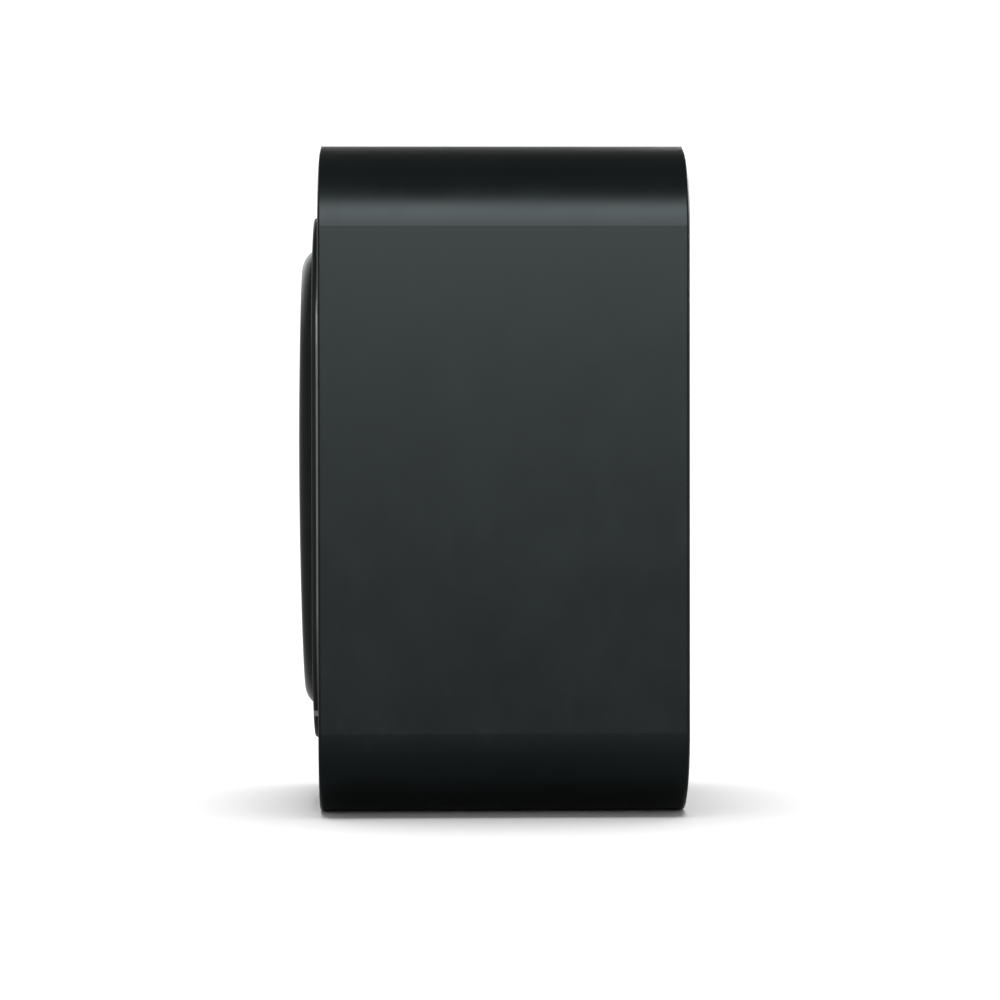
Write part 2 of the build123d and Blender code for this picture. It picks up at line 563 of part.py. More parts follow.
# Two clips lock the bezel to the door. Their light ends show in the bezel's rim.
with BuildPart() as bezel_clips:
    for side in (-1, 1):
        z0, z1 = CLIP_Z - CLIP_H / 2, CLIP_Z + CLIP_H / 2
        block(*sorted((side * (CLIP_X - 1.9), side * 28)), DOOR_FRONT, BEZEL_FRONT - 0.05, z0, z1)
        block(*sorted((side * (CLIP_X - 1.9), side * (CLIP_X + 1.9))), 110.4, DOOR_FRONT, z0, z1)
        block(*sorted((side * (CLIP_X - 1.9), side * (CLIP_X + 3.6))), 110.4, DOOR_BACK - 0.1, z0, z1)
    slot_prism(BEZEL_OUT, 110, BEZEL_FRONT, mode=Mode.INTERSECT)
keep(bezel_clips, "bezel_clips")

# Soft pads on the collar's rear that the paddle's stop lugs rest against.
LUG_X = (9.6, 13.8)
PAD_BACK = COLLAR_BACK - 0.8
LUG_FRONT = PAD_BACK - 0.1
LUG_REAR = 104.2
LUG_ROOT_Z = -64.9
PAD_Z = (-76.0, -73.8)
with BuildPart() as stop_pads:
    for side in (-1, 1):
        block(*sorted((side * (LUG_X[0] + 0.5), side * (LUG_X[1] - 0.5))), PAD_BACK, COLLAR_BACK, *PAD_Z)
keep(stop_pads, "stop_pads")

# ================================================================ paddle
CAVITY_FRONT = 117.6
BOSS_XZ = (16.0, 40.0)
CARRIER_FRONT = 112.0
CARRIER_BACK = 109.5
PAD_FRONT = HEAD_FRONT + 0.2


# The crown: an arc across the paddle's width, turned about an axis far behind the wall.
with BuildPart() as crown:
    axis_depth = CROWN_FRONT - CROWN_R_Z
    edge_depth = CROWN_FRONT - CROWN_SAG_X
    crown_root = PADDLE_BACK - 3
    with BuildSketch(Plane.XY.offset(CROWN_MID_Z)) as section:
        with BuildLine():
            across = ThreePointArc((-CROWN_HALF, -edge_depth), (0, -CROWN_FRONT), (CROWN_HALF, -edge_depth))
            Polyline(across @ 1, (CROWN_HALF, -crown_root), (-CROWN_HALF, -crown_root), across @ 0)
        make_face()
    for way in (-1, 1):
        turn_axis = Axis((0, -axis_depth, CROWN_MID_Z), (way, 0, 0))
        revolve(section.sketch, axis=turn_axis, revolution_arc=CROWN_TURN)

with BuildPart() as paddle:
    slot_prism(PADDLE, PADDLE_BACK, CROWN_FRONT + 5)
    add(crown.part, mode=Mode.INTERSECT)
    rim = [e for e in paddle.edges() if e.center().Y < -PADDLE_EDGE]
    fillet(rim, PADDLE_EDGE_R)
    slot_prism((PADDLE[0] - PADDLE_WALL, PADDLE[1] - PADDLE_WALL), PADDLE_BACK - 1, CAVITY_FRONT,
               mode=Mode.SUBTRACT)
    for x, z in corners(*BOSS_XZ):
        peg(x, z, 3.0, CARRIER_FRONT, CAVITY_FRONT + 1)
        peg(x, z, 1.1, CARRIER_FRONT, CAVITY_FRONT - 0.5, mode=Mode.SUBTRACT)
keep(paddle, "push_paddle")

with BuildPart() as carrier:
    rim_gap = PADDLE_WALL + 0.2
    slot_prism((PADDLE[0] - rim_gap, PADDLE[1] - rim_gap), CARRIER_BACK, CARRIER_FRONT)
    # Ribs down the back, and the pad that pushes the plunger.
    for x in (-9.0, 9.0):
        block(x - 1, x + 1, 106.5, CARRIER_BACK, -46, 50)
    for z in (-46.0, 0.0, 46.0):
        block(-9, 9, 107.5, CARRIER_BACK, z - 1, z + 1)
    block(-7, 7, PAD_FRONT, CARRIER_BACK, -65, -55)
    # Post for the torsion spring's lower leg.
    block(-4.4, -0.8, SPRING_POST_BACK, CARRIER_BACK, PIVOT_Z - 17, PIVOT_Z - 12)
    # Window round the torsion spring, then the pivot eyes.
    block(-5, 5, CARRIER_BACK - 1, CARRIER_FRONT + 1, PIVOT_Z - 5, PIVOT_Z + 5, mode=Mode.SUBTRACT)
    for side in (-1, 1):
        ends = sorted((side * 14.0, side * 19.5))
        rod(PIVOT_DEPTH, PIVOT_Z, 3.2, *ends)
        block(*ends, PIVOT_DEPTH, CARRIER_BACK + 0.5, PIVOT_Z - 3.2, PIVOT_Z + 3.2)
        rod(PIVOT_DEPTH, PIVOT_Z, PIVOT_PIN_R + 0.05, ends[0] - 1, ends[1] + 1, mode=Mode.SUBTRACT)
        # Stop lugs that reach back and then down behind the bezel's collar.
        lug = sorted((side * LUG_X[0], side * LUG_X[1]))
        block(*lug, LUG_REAR, CARRIER_BACK + 0.5, LUG_ROOT_Z - 3.5, LUG_ROOT_Z)
        block(*lug, LUG_REAR, LUG_FRONT, LUG_ROOT_Z - 12, LUG_ROOT_Z)
    for x, z in corners(*BOSS_XZ):
        peg(x, z, 1.4, CARRIER_BACK - 1, CARRIER_FRONT + 1, mode=Mode.SUBTRACT)
keep(carrier, "paddle_carrier")

with BuildPart() as paddle_screws:
    for x, z in corners(*BOSS_XZ):
        peg(x, z, 1.1, CARRIER_BACK, CAVITY_FRONT - 1)
        peg(x, z, 2.3, CARRIER_BACK - 1.5, CARRIER_BACK)
        cross_recess(x, z, 1.4, 0.3, CARRIER_BACK - 2, CARRIER_BACK - 0.8)
keep(paddle_screws, "paddle_screws")

with BuildPart() as pivot_pin:
    rod(PIVOT_DEPTH, PIVOT_Z, PIVOT_PIN_R, -25, 25)
    chamfer(pivot_pin.edges().filter_by(GeomType.CIRCLE), 0.3)
keep(pivot_pin, "pivot_pin")

# Torsion spring on the pivot pin: one leg presses a post on the carrier, the other one on the collar.
# It's drawn along Z and then laid along X.
TORSION_WIRE = 0.8
TORSION_R = 2.6
TORSION_PITCH = 1.05
TORSION_SPAN = 5 * TORSION_PITCH
TORSION_PLACE = Plane(origin=(-TORSION_SPAN / 2, -PIVOT_DEPTH, PIVOT_Z), x_dir=(0, 1, 0), z_dir=(1, 0, 0))
with BuildPart() as paddle_spring:
    with BuildLine() as torsion:
        Helix(TORSION_PITCH, TORSION_SPAN, TORSION_R)
    with BuildSketch(Plane(origin=torsion.line @ 0, z_dir=torsion.line % 0)) as torsion_wire:
        Circle(TORSION_WIRE / 2)
    sweep(torsion_wire.sketch, path=torsion.line, is_frenet=True)
    for height, length in ((0, -17.0), (TORSION_SPAN, 13.5)):
        with BuildSketch(Plane.XZ) as leg:
            with Locations((TORSION_R, height)):
                Circle(TORSION_WIRE / 2)
        extrude(leg.sketch, amount=-length)
paddle_spring.part = paddle_spring.part.moved(TORSION_PLACE.location)
keep(paddle_spring, "paddle_spring")

# ================================================================ lock
BUSH_BACK = 106.2
with BuildPart() as lock_bush:
    peg(0, LOCK_Z, BUSH_R - 0.05, BUSH_BACK, DOOR_FRONT - 0.5)
    peg(0, LOCK_Z, BUSH_R + 1.1, DOOR_FRONT - 0.9, DOOR_FRONT)
    fillet(lock_bush.faces().sort_by(Axis.Y)[0].edges(), 0.25)
    peg(0, LOCK_Z, PLUG_R + 0.06, BUSH_BACK - 1, DOOR_FRONT + 1, mode=Mode.SUBTRACT)
keep(lock_bush, "lock_bush")

with BuildPart() as lock_nut:
    with BuildSketch(at_depth(DOOR_BACK - 2.6)) as hexagon:
        with Locations((0, LOCK_Z)):
            RegularPolygon(6.6, 6)
            Circle(BUSH_R, mode=Mode.SUBTRACT)
    extrude(hexagon.sketch, amount=2.6)
keep(lock_nut, "lock_nut")

with BuildPart() as lock_plug:
    peg(0, LOCK_Z, PLUG_R, CAM_DEPTH + CAM_T, DOOR_FRONT - 0.3)
    fillet(lock_plug.faces().sort_by(Axis.Y)[0].edges(), 0.2)
    block(-1.9, 1.9, DOOR_FRONT - 6, DOOR_FRONT + 1, LOCK_Z - 0.45, LOCK_Z + 0.45, mode=Mode.SUBTRACT)
    block(-0.5, 0.7, DOOR_FRONT - 6, DOOR_FRONT + 1, LOCK_Z - 0.9, LOCK_Z, mode=Mode.SUBTRACT)
keep(lock_plug, "lock_plug")

# Cam: points along +X when unlocked, and up behind the sleeve's rib when locked.
with BuildPart() as lock_cam:
    with BuildSketch(at_depth(CAM_DEPTH)) as cam_outline:
        with Locations((0, LOCK_Z)):
            Circle(4.0)
        with Locations((3.5, LOCK_Z)):
            RectangleRounded(14, 6, 1.5)
        with Locations((0, LOCK_Z)):
            Circle(1.3, mode=Mode.SUBTRACT)
    extrude(cam_outline.sketch, amount=CAM_T)
keep(lock_cam, "lock_cam")

with BuildPart() as cam_screw:
    peg(0, LOCK_Z, 1.25, CAM_DEPTH, CAM_DEPTH + CAM_T)
    peg(0, LOCK_Z, 2.4, CAM_DEPTH - 1.4, CAM_DEPTH)
    block(-1.7, 1.7, CAM_DEPTH - 2, CAM_DEPTH - 0.8, LOCK_Z - 0.3, LOCK_Z + 0.3, mode=Mode.SUBTRACT)
keep(cam_screw, "cam_screw")
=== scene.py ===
"""Looks of the wall mounted soap dispenser: materials, blown bottle, springs, floor, light and camera.

Metres, +Z up, front towards -Y, wall plane at Y = 0. "Depth" is the distance from the wall, -Y.
"""

import json
import math

import bmesh
import bpy
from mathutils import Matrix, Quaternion, Vector


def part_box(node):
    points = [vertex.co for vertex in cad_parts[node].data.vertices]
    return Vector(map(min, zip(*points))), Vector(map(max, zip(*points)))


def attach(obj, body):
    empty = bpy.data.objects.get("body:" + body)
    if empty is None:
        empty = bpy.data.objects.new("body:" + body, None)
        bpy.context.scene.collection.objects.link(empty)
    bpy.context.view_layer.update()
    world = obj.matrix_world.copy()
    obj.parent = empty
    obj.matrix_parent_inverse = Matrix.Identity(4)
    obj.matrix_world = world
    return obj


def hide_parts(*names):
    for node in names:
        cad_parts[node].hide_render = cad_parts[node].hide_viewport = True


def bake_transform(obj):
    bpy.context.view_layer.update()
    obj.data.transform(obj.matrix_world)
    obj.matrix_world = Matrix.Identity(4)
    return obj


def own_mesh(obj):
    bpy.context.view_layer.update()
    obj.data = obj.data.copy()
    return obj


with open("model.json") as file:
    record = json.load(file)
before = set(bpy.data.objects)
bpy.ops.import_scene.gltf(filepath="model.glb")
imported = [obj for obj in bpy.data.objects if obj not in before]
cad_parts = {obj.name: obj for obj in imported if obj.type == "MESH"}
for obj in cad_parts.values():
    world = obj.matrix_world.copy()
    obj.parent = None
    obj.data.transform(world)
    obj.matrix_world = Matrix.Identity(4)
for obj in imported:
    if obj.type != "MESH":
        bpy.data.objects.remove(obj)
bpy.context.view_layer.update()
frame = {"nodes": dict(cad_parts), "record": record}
nodes = frame["nodes"]

MM = 0.001

# ---------------------------------------------------------------- places read from the frame
sleeve_low, sleeve_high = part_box("housing_sleeve")
bottle_low, bottle_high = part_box("soap_bottle")


# ================================================================ node helpers
class Shader:
    """A Principled material being built: short calls that add nodes and link them."""

    def __init__(self, name, color, roughness, metallic=0.0, specular=0.5):
        self.material = bpy.data.materials.new(name)
        self.material.use_nodes = True
        self.tree = self.material.node_tree
        self.principled = self.tree.nodes["Principled BSDF"]
        self.set("Base Color", (*color, 1.0))
        self.set("Roughness", roughness)
        self.set("Metallic", metallic)
        self.set("Specular IOR Level", specular)
        self.coords = self.tree.nodes.new("ShaderNodeTexCoord").outputs["Object"]

    def set(self, socket, value):
        self.principled.inputs[socket].default_value = value

    def link(self, output, node, socket):
        self.tree.links.new(output, node.inputs[socket])

    def stretched(self, scale):
        """Object coordinates multiplied by scale, for grain that runs one way."""
        mapping = self.tree.nodes.new("ShaderNodeMapping")
        mapping.inputs["Scale"].default_value = scale
        self.link(self.coords, mapping, "Vector")
        return mapping.outputs["Vector"]

    def noise(self, scale, detail=3.0, roughness=0.5, vector=None):
        node = self.tree.nodes.new("ShaderNodeTexNoise")
        node.inputs["Scale"].default_value = scale
        node.inputs["Detail"].default_value = detail
        node.inputs["Roughness"].default_value = roughness
        self.link(vector or self.coords, node, "Vector")
        return node.outputs["Fac"]

    def cells(self, scale):
        node = self.tree.nodes.new("ShaderNodeTexVoronoi")
        node.inputs["Scale"].default_value = scale
        self.link(self.coords, node, "Vector")
        return node.outputs["Distance"]

    def remap(self, source, low, high, start=0.3, stop=0.7):
        """Maps a pattern's values from start to stop onto the range low to high, and clamps the rest."""
        node = self.tree.nodes.new("ShaderNodeMapRange")
        node.inputs["From Min"].default_value = start
        node.inputs["From Max"].default_value = stop
        node.inputs["To Min"].default_value = low
        node.inputs["To Max"].default_value = high
        self.link(source, node, "Value")
        return node.outputs["Result"]

    def add(self, first, second):
        node = self.tree.nodes.new("ShaderNodeMath")
        node.operation = "ADD"
        self.link(first, node, 0)
        self.link(second, node, 1)
        return node.outputs["Value"]

    def blend_colors(self, factor, first, second):
        """Colours the material with first where factor is 0 and second where it is 1."""
        node = self.tree.nodes.new("ShaderNodeMix")
        node.data_type = "RGBA"
        node.inputs["A"].default_value = (*first, 1.0)
        node.inputs["B"].default_value = (*second, 1.0)
        self.link(factor, node, "Factor")
        self.link(node.outputs["Result"], self.principled, "Base Color")

    def roughen(self, source):
        self.link(source, self.principled, "Roughness")

    def bump(self, height, strength, distance):
        node = self.tree.nodes.new("ShaderNodeBump")
        node.inputs["Strength"].default_value = strength
        node.inputs["Distance"].default_value = distance
        self.link(height, node, "Height")
        self.link(node.outputs["Normal"], self.principled, "Normal")


def scaled(color, factor):
    """The colour with every channel multiplied by factor."""
    return tuple(factor * channel for channel in color)


# ================================================================ materials
# Noise scales are in cycles per metre, so a scale of 500 has features of about 2 mm.
def moulded_plastic(name, dark, light, roughness, specular, grain=0.25, grain_scale=2600.0, tint=None):
    """Moulded plastic: a fine spark grain, slow drifts in gloss, and faint handling marks."""
    s = Shader(name, dark, roughness, specular=specular)
    if tint:
        s.set("Specular Tint", (*tint, 1.0))
    mottling = s.noise(scale=38.0, detail=4.0, roughness=0.6)
    s.blend_colors(s.remap(mottling, low=0.0, high=1.0), dark, light)
    handling = s.noise(scale=90.0, detail=6.0, roughness=0.7, vector=s.stretched((1.0, 1.0, 0.35)))
    drift = s.remap(mottling, low=roughness - 0.02, high=roughness + 0.02)
    marks = s.remap(handling, low=0.0, high=0.05, start=0.52, stop=0.75)
    s.roughen(s.add(drift, marks))
    spark_grain = s.add(s.cells(grain_scale), s.noise(scale=grain_scale * 0.6, detail=2.0))
    s.bump(spark_grain, strength=grain, distance=0.02 * MM)
    return s.material


def brushed_metal(name, color, roughness, stretch):
    """Metal with fine scratches along one axis."""
    s = Shader(name, color, roughness, metallic=1.0)
    scratches = s.noise(scale=260.0, detail=5.0, roughness=0.65, vector=s.stretched(stretch))
    patina = s.noise(scale=60.0)
    wear = s.remap(s.add(scratches, patina), low=0.0, high=1.0, start=0.6, stop=1.4)
    s.blend_colors(wear, scaled(color, 0.82), color)
    s.roughen(s.remap(scratches, low=roughness - 0.07, high=roughness + 0.1))
    s.bump(scratches, strength=0.2, distance=0.01 * MM)
    return s.material


def plated_metal(name, color, roughness):
    """Bright plating: small pits and a faint cloudy stain."""
    s = Shader(name, color, roughness, metallic=1.0)
    cloud = s.noise(scale=420.0, detail=4.0, roughness=0.6)
    stained = (0.86 * color[0], 0.84 * color[1], 0.78 * color[2])
    s.blend_colors(s.remap(cloud, low=0.0, high=1.0, start=0.4), color, stained)
    s.roughen(s.remap(cloud, low=roughness, high=roughness + 0.12))
    s.bump(s.noise(scale=2400.0), strength=0.12, distance=0.01 * MM)
    return s.material


def clear_plastic(name, color, roughness, transmission):
    """Blown translucent plastic: slightly wavy walls and uneven haze."""
    s = Shader(name, color, roughness)
    s.set("IOR", 1.5)
    s.set("Transmission Weight", transmission)
    waves = s.noise(scale=16.0, detail=1.0, roughness=0.4, vector=s.stretched((1.0, 1.0, 0.35)))
    s.blend_colors(s.remap(waves, low=0.0, high=1.0), scaled(color, 0.93), color)
    haze = s.noise(scale=60.0, detail=1.0)
    s.roughen(s.remap(haze, low=roughness - 0.03, high=roughness + 0.03))
    s.bump(waves, strength=0.1, distance=0.2 * MM)
    return s.material


def soft_rubber(name, color, translucency=0.0):
    """Rubber or silicone: matt, dusty, with a soft skin grain."""
    s = Shader(name, color, roughness=0.6, specular=0.35)
    s.set("Transmission Weight", translucency)
    dust = s.noise(scale=500.0, detail=5.0, roughness=0.7)
    dusty = tuple(channel + 0.05 for channel in color)
    s.blend_colors(s.remap(dust, low=0.0, high=1.0), color, dusty)
    s.roughen(s.remap(dust, low=0.52, high=0.68))
    s.bump(s.noise(scale=1800.0), strength=0.3, distance=0.02 * MM)
    return s.material


def floor_paper(name):
    """Matt white studio paper with a barely visible fibre."""
    paper = (0.5, 0.5, 0.5)
    fibre_white = (0.51, 0.51, 0.51)
    s = Shader(name, paper, roughness=0.9, specular=0.05)
    fibre = s.noise(scale=900.0, detail=4.0, roughness=0.6)
    s.blend_colors(s.remap(fibre, low=0.0, high=1.0), paper, fibre_white)
    return s.material


# The sleeve and the door reflect with a cool tint.
COOL_SHEEN = (0.85, 0.98, 1.0)
SLEEVE_BLACK = moulded_plastic(
    "sleeve_black",
    dark=(0.0007, 0.0009, 0.0009),
    light=(0.0009, 0.0012, 0.0012),
    roughness=0.33,
    specular=0.05,
    tint=COOL_SHEEN,
)
DOOR_BLACK = moulded_plastic(
    "door_black",
    dark=(0.0007, 0.0009, 0.0009),
    light=(0.0010, 0.0013, 0.0013),
    roughness=0.36,
    specular=0.05,
    tint=COOL_SHEEN,
)
BEZEL_BLACK = moulded_plastic(
    "bezel_black",
    dark=(0.011, 0.0118, 0.012),
    light=(0.013, 0.0138, 0.014),
    roughness=0.42,
    specular=0.04,
)
PADDLE_BLACK = moulded_plastic(
    "paddle_black",
    dark=(0.0065, 0.0068, 0.007),
    light=(0.0078, 0.0082, 0.0085),
    roughness=0.3,
    specular=0.03,
    grain=0.12,
)
INNER_BLACK = moulded_plastic(
    "inner_black",
    dark=(0.012, 0.012, 0.0125),
    light=(0.017, 0.017, 0.018),
    roughness=0.5,
    specular=0.35,
    grain=0.4,
)
PLATE_GREY = moulded_plastic(
    "plate_grey",
    dark=(0.03, 0.03, 0.032),
    light=(0.038, 0.038, 0.04),
    roughness=0.55,
    specular=0.35,
    grain=0.5,
    grain_scale=1400.0,
)
SHELF_GREY = moulded_plastic(
    "shelf_grey",
    dark=(0.14, 0.145, 0.15),
    light=(0.17, 0.175, 0.18),
    roughness=0.5,
    specular=0.4,
    grain=0.4,
)
CLIP_GREY = moulded_plastic(
    "clip_grey",
    dark=(0.17, 0.17, 0.165),
    light=(0.21, 0.21, 0.205),
    roughness=0.5,
    specular=0.3,
)
PUMP_WHITE = moulded_plastic(
    "pump_white",
    dark=(0.50, 0.50, 0.48),
    light=(0.56, 0.56, 0.54),
    roughness=0.35,
    specular=0.4,
    grain=0.1,
)
TRIM_METAL = brushed_metal("trim_metal", color=(0.11, 0.113, 0.115), roughness=0.38, stretch=(8.0, 1.0, 0.4))
STEEL = brushed_metal("steel", color=(0.36, 0.36, 0.37), roughness=0.32, stretch=(0.5, 6.0, 6.0))
SCREW_ZINC = plated_metal("screw_zinc", color=(0.42, 0.42, 0.41), roughness=0.28)
MAGNET = plated_metal("magnet", color=(0.45, 0.45, 0.46), roughness=0.2)
LOCK_CHROME = plated_metal("lock_chrome", color=(0.42, 0.43, 0.44), roughness=0.18)
BOTTLE_CLEAR = clear_plastic("bottle_clear", color=(0.74, 0.81, 0.83), roughness=0.34, transmission=0.6)
SILICONE = soft_rubber("silicone", color=(0.48, 0.48, 0.45), translucency=0.2)
SEAL_BLACK = soft_rubber("seal_black", color=(0.015, 0.015, 0.015))

SLOT_MATERIALS = {
    "sleeve_black": SLEEVE_BLACK,
    "door_black": DOOR_BLACK,
    "bezel_black": BEZEL_BLACK,
    "paddle_black": PADDLE_BLACK,
    "inner_black": INNER_BLACK,
    "plate_grey": PLATE_GREY,
    "shelf_grey": SHELF_GREY,
    "clip_grey": CLIP_GREY,
    "pump_white": PUMP_WHITE,
    "trim_metal": TRIM_METAL,
    "steel": STEEL,
    "screw_zinc": SCREW_ZINC,
    "magnet": MAGNET,
    "lock_chrome": LOCK_CHROME,
    "bottle_clear": BOTTLE_CLEAR,
    "silicone": SILICONE,
    "seal_black": SEAL_BLACK,
}


def dress_cad_nodes():
    """Gives every CAD node the procedural material of its slot."""
    for part in frame["record"]["subparts"]:
        mesh = nodes[part["node"]].data
        mesh.materials.clear()
        mesh.materials.append(SLOT_MATERIALS[part["material_slot"]])


# ================================================================ bottle
BOTTLE_CORNER = 14.0 * MM
BOTTLE_SHOULDER = 7.0 * MM
WALL_THICKNESS = 1.2 * MM
# The neck points down. NECK_TOP is the height where it meets the body.
NECK_RADIUS = 16.5 * MM
NECK_DEPTH = 57.0 * MM
NECK_TOP = -30.8 * MM
THREAD_PITCH = 4.0 * MM
THREAD_ROOT = 0.7 * MM
THREAD_HEIGHT = 0.6 * MM
# Two grip bands, placed by share of the body's height.
BAND_PLACES = (0.18, 0.82)
BAND_HALF_HEIGHT = 5.0 * MM
BAND_DEPTH = 1.1 * MM
# Fine ribs round the middle, over this share of the height each way. They start and end softly.
RIB_REACH = 0.18
RIB_FADE = 4.0
RIB_PITCH = 6.0 * MM
RIB_DEPTH = 0.35 * MM
# How finely the bottle is meshed.
RING_POINTS = 96
NECK_STEPS = 48
BODY_STEPS = 150
CLOSING_STEPS = 8
# The rings that close the top stop at about this share of the way to its middle.
CLOSING_REACH = 0.8


def ring_angles():
    """The directions of a ring's points, the same for every ring so that rings pair up."""
    return [2 * math.pi * (step + 0.5) / RING_POINTS for step in range(RING_POINTS)]


def rounded_ring(half_x, half_y, radius, centre_y, z):
    """Points round a rounded rectangle, evenly spread by angle."""
    ring = []
    for angle in ring_angles():
        dx, dy = math.cos(angle), math.sin(angle)
        corner = Vector((math.copysign(half_x - radius, dx), math.copysign(half_y - radius, dy)))
        reach = min(half_x / max(abs(dx), 1e-9), half_y / max(abs(dy), 1e-9))
        x, y = reach * dx, reach * dy
        if abs(x) > abs(corner.x) and abs(y) > abs(corner.y):
            along = corner.x * dx + corner.y * dy
            off = corner.length_squared - along * along
            reach = along + math.sqrt(max(radius * radius - off, 0.0))
            x, y = reach * dx, reach * dy
        ring.append((x, centre_y + y, z))
    return ring


def threaded_ring(z):
    """Points round the neck at a height, with the thread's crest where the thread passes."""
    turn = 2 * math.pi * (z - bottle_low.z) / THREAD_PITCH
    ring = []
    for angle in ring_angles():
        crest = 0.5 + 0.5 * math.cos(turn - angle)
        radius = NECK_RADIUS - THREAD_ROOT + THREAD_HEIGHT * crest ** 3
        ring.append((radius * math.cos(angle), -NECK_DEPTH + radius * math.sin(angle), z))
    return ring


def moulded_inset(height, low, high):
    """How far the bottle's wall sits back at a height: rolled ends, two grip bands and fine ribs."""
    rim = min(height - low, high - height)
    inset = 0.0
    if rim < BOTTLE_SHOULDER:
        inset = BOTTLE_SHOULDER - math.sqrt(BOTTLE_SHOULDER ** 2 - (BOTTLE_SHOULDER - rim) ** 2)
    for place in BAND_PLACES:
        away = abs(height - (low + place * (high - low))) / BAND_HALF_HEIGHT
        if away < 1.0:
            inset += BAND_DEPTH * (0.5 + 0.5 * math.cos(math.pi * away))
    from_middle = abs(height - (low + high) / 2) / (RIB_REACH * (high - low))
    if from_middle < 1.0:
        fade = min(1.0, RIB_FADE * (1.0 - from_middle))
        inset += RIB_DEPTH * fade * (0.5 - 0.5 * math.cos(2 * math.pi * height / RIB_PITCH))
    return inset


def between(first, second, share):
    """The ring that lies a share of the way from the first ring to the second."""
    return [tuple((1 - share) * a + share * b for a, b in zip(p, q)) for p, q in zip(first, second)]


def bottle_rings():
    """The bottle's rings from the neck's mouth up: neck, base, wall and top."""
    half_x = (bottle_high.x - bottle_low.x) / 2
    half_y = (bottle_high.y - bottle_low.y) / 2
    centre_y = (bottle_high.y + bottle_low.y) / 2
    rings = []
    for step in range(NECK_STEPS + 1):
        rings.append(threaded_ring(bottle_low.z + (NECK_TOP - bottle_low.z) * step / NECK_STEPS))
    neck = rings[-1]
    base_corner = BOTTLE_CORNER - BOTTLE_SHOULDER
    base = rounded_ring(half_x - BOTTLE_SHOULDER, half_y - BOTTLE_SHOULDER, base_corner, centre_y, NECK_TOP)
    for step in range(1, CLOSING_STEPS):
        rings.append(between(neck, base, step / CLOSING_STEPS))
    for step in range(BODY_STEPS + 1):
        height = NECK_TOP + (bottle_high.z - NECK_TOP) * step / BODY_STEPS
        inset = moulded_inset(height, NECK_TOP, bottle_high.z)
        corner = BOTTLE_CORNER - min(inset, BOTTLE_SHOULDER)
        rings.append(rounded_ring(half_x - inset, half_y - inset, corner, centre_y, height))
    top = rings[-1]
    for step in range(1, CLOSING_STEPS):
        share = 1.0 - CLOSING_REACH * step / CLOSING_STEPS
        rings.append([(share * x, centre_y + share * (y - centre_y), z) for x, y, z in top])
    return rings


def skinned(name, rings):
    """A smooth mesh over the rings, open at the first ring and closed at the last."""
    shape = bmesh.new()
    rows = [[shape.verts.new(point) for point in ring] for ring in rings]
    for lower, upper in zip(rows, rows[1:]):
        for point in range(RING_POINTS):
            following = (point + 1) % RING_POINTS
            shape.faces.new((lower[point], lower[following], upper[following], upper[point]))
    shape.faces.new(rows[-1])
    mesh = bpy.data.meshes.new(name)
    shape.to_mesh(mesh)
    shape.free()
    mesh.shade_smooth()
    return mesh


def blown_bottle():
    """The bottle as a blown shell: neck with a thread, shoulders, grip bands and ribs."""
    mesh = skinned("blown_bottle", bottle_rings())
    bottle = bpy.data.objects.new("blown_bottle", mesh)
    bpy.context.scene.collection.objects.link(bottle)
    shell = bottle.modifiers.new("wall", "SOLIDIFY")
    shell.thickness = WALL_THICKNESS
    shell.offset = -1.0
    mesh.materials.append(BOTTLE_CLEAR)
    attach(bottle, "housing")
    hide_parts("soap_bottle")


def spring(name, node):
    """A copy of a CAD spring as an object with a mesh of its own, with the CAD spring hidden."""
    mesh = nodes[node].data.copy()
    mesh.name = name
    coil = bpy.data.objects.new(name, mesh)
    coil.matrix_world = nodes[node].matrix_world
    bpy.context.scene.collection.objects.link(coil)
    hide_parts(node)
    return coil


def return_coil():
    """The plunger's spring, which shortens towards the gland as the plunger goes in."""
    coil = spring("return_coil", "plunger_spring")
    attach(coil, "housing")
    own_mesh(coil)


def paddle_coil():
    """The paddle's spring: its upper leg stays with the door and its lower leg turns with the paddle."""
    coil = spring("paddle_coil", "paddle_spring")
    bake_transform(coil)


# ================================================================ floor
FLOOR_HALF = 6.0


def studio_floor():
    """A wide pale floor at the height of the dispenser's base."""
    mesh = bpy.data.meshes.new("studio_floor")
    level = sleeve_low.z
    signs = ((-1, -1), (1, -1), (1, 1), (-1, 1))
    corners = [(FLOOR_HALF * x, FLOOR_HALF * y, level) for x, y in signs]
    mesh.from_pydata(corners, [], [(0, 1, 2, 3)])
    floor = bpy.data.objects.new("studio_floor", mesh)
    bpy.context.scene.collection.objects.link(floor)
    mesh.materials.append(floor_paper("floor_paper"))
    return floor


# ================================================================ light
# The surround is white round the horizon and dims upwards: sine of elevation from and to, then strength.
SURROUND_FADE = (0.2, 0.55, 1.18, 0.45)
# Name, azimuth and elevation in degrees, height in metres, and radiance. Azimuth 0 is the front and
# 90 the +X side.
BOXES = (
    ("box_right", 90.0, 21.0, 1.0, 33.0),
    ("box_right_top", 90.0, 31.0, 0.35, 11.0),
    ("box_front_left", -45.0, 24.0, 1.0, 18.0),
    ("box_rear_left", -135.0, 24.0, 1.0, 18.0),
)
BOX_WIDTH = 2.4
BOX_REACH = 2.0
BOX_TARGET = Vector((0.0, -0.06, 0.0))
# The black shells reflect little, so they get the full light and all else a small share of it.
BLACK_SHELLS = ("housing_sleeve", "front_door")
INNER_SHARE = 0.12
# The floor's own wide lamp, almost straight above, keeps the contact shadow short.
SUN_STRENGTH = 5.6
SUN_WIDTH = math.radians(34.0)
SUN_TILT = math.radians(-3.0)


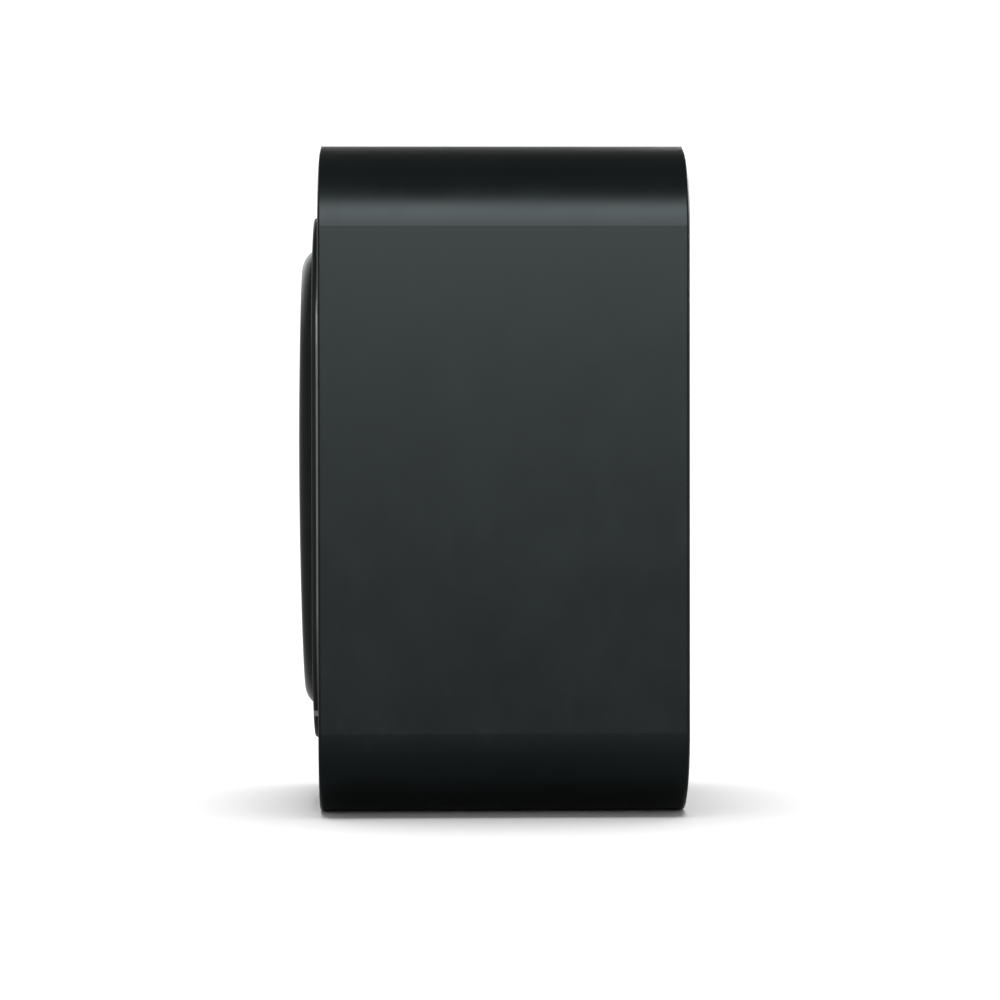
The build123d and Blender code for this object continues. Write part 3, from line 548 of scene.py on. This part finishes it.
def surround():
    """A white world that dims from the horizon upwards."""
    world = bpy.data.worlds.new("studio")
    world.use_nodes = True
    tree = world.node_tree
    backdrop = tree.nodes["Background"]
    backdrop.inputs["Color"].default_value = (1.0, 1.0, 1.0, 1.0)
    direction = tree.nodes.new("ShaderNodeTexCoord")
    parts = tree.nodes.new("ShaderNodeSeparateXYZ")
    fade = tree.nodes.new("ShaderNodeMapRange")
    for socket, value in zip(("From Min", "From Max", "To Min", "To Max"), SURROUND_FADE):
        fade.inputs[socket].default_value = value
    tree.links.new(direction.outputs["Generated"], parts.inputs["Vector"])
    tree.links.new(parts.outputs["Z"], fade.inputs["Value"])
    tree.links.new(fade.outputs["Result"], backdrop.inputs["Strength"])
    bpy.context.scene.world = world


def lit_collection(name, things):
    """A collection for lamps to be linked to, so that they light those things and nothing else."""
    lit = bpy.data.collections.new(name)
    for thing in things:
        lit.objects.link(thing)
    return lit


def softbox(name, place, height, radiance, lit):
    """A rectangular area light of that radiance, aimed at the dispenser, for one collection only."""
    light = bpy.data.lights.new(name, "AREA")
    light.shape = "RECTANGLE"
    light.size = BOX_WIDTH
    light.size_y = height
    light.energy = radiance * math.pi * BOX_WIDTH * height
    lamp = bpy.data.objects.new(name, light)
    lamp.location = place
    lamp.rotation_euler = (BOX_TARGET - place).to_track_quat("-Z", "Y").to_euler()
    lamp.light_linking.receiver_collection = lit
    bpy.context.scene.collection.objects.link(lamp)


def softboxes(floor):
    """The soft boxes, each at full strength for the black shells and dimmed for the other pieces."""
    shells = [nodes[name] for name in BLACK_SHELLS]
    dispenser = [t for t in bpy.context.scene.objects if t.type == "MESH" and t != floor]
    lit_shells = lit_collection("black_shells", shells)
    lit_inner = lit_collection("inner_pieces", [t for t in dispenser if t not in shells])
    for name, azimuth, elevation, height, radiance in BOXES:
        turn, rise = math.radians(azimuth), math.radians(elevation)
        away = Vector((math.sin(turn) * math.cos(rise), -math.cos(turn) * math.cos(rise), math.sin(rise)))
        place = BOX_TARGET + BOX_REACH * away
        softbox(name, place, height, radiance, lit_shells)
        softbox(name + "_inner", place, height, INNER_SHARE * radiance, lit_inner)


def floor_lamp(floor):
    """A broad overhead lamp that lights the floor only."""
    sun = bpy.data.lights.new("floor_sun", "SUN")
    sun.energy = SUN_STRENGTH
    sun.angle = SUN_WIDTH
    lamp = bpy.data.objects.new("floor_sun", sun)
    lamp.rotation_euler = (0.0, SUN_TILT, 0.0)
    lamp.light_linking.receiver_collection = lit_collection("floor_only", [floor])
    bpy.context.scene.collection.objects.link(lamp)


# ================================================================ camera
SENSOR_WIDTH = 36.0
LENS = 125.6
NEAR_CLIP = 0.01
# The eye's distance from the sleeve's +X side, and its place along Y and Z.
EYE_DISTANCE = 1.078
EYE_Y = -0.0847
EYE_Z = 0.0163
YAW = math.radians(1.363)
PITCH = math.radians(-1.1925)
ROLL = math.radians(-0.09)


def camera():
    """The photograph's view: the +X side, almost square and level, with the front to the left."""
    view = bpy.data.cameras.new("camera")
    view.sensor_width = SENSOR_WIDTH
    view.lens = LENS
    view.clip_start = NEAR_CLIP
    gaze = Vector((-math.cos(YAW), math.sin(YAW), math.tan(PITCH)))
    roll = Quaternion((0.0, 0.0, 1.0), ROLL)
    eye = bpy.data.objects.new("camera", view)
    eye.location = (sleeve_high.x + EYE_DISTANCE, EYE_Y, EYE_Z)
    eye.rotation_euler = (gaze.to_track_quat("-Z", "Y") @ roll).to_euler()
    bpy.context.scene.collection.objects.link(eye)
    bpy.context.scene.camera = eye


dress_cad_nodes()
blown_bottle()
return_coil()
paddle_coil()
floor = studio_floor()
surround()
softboxes(floor)
floor_lamp(floor)
camera()
bpy.context.scene.view_settings.view_transform = "Standard"
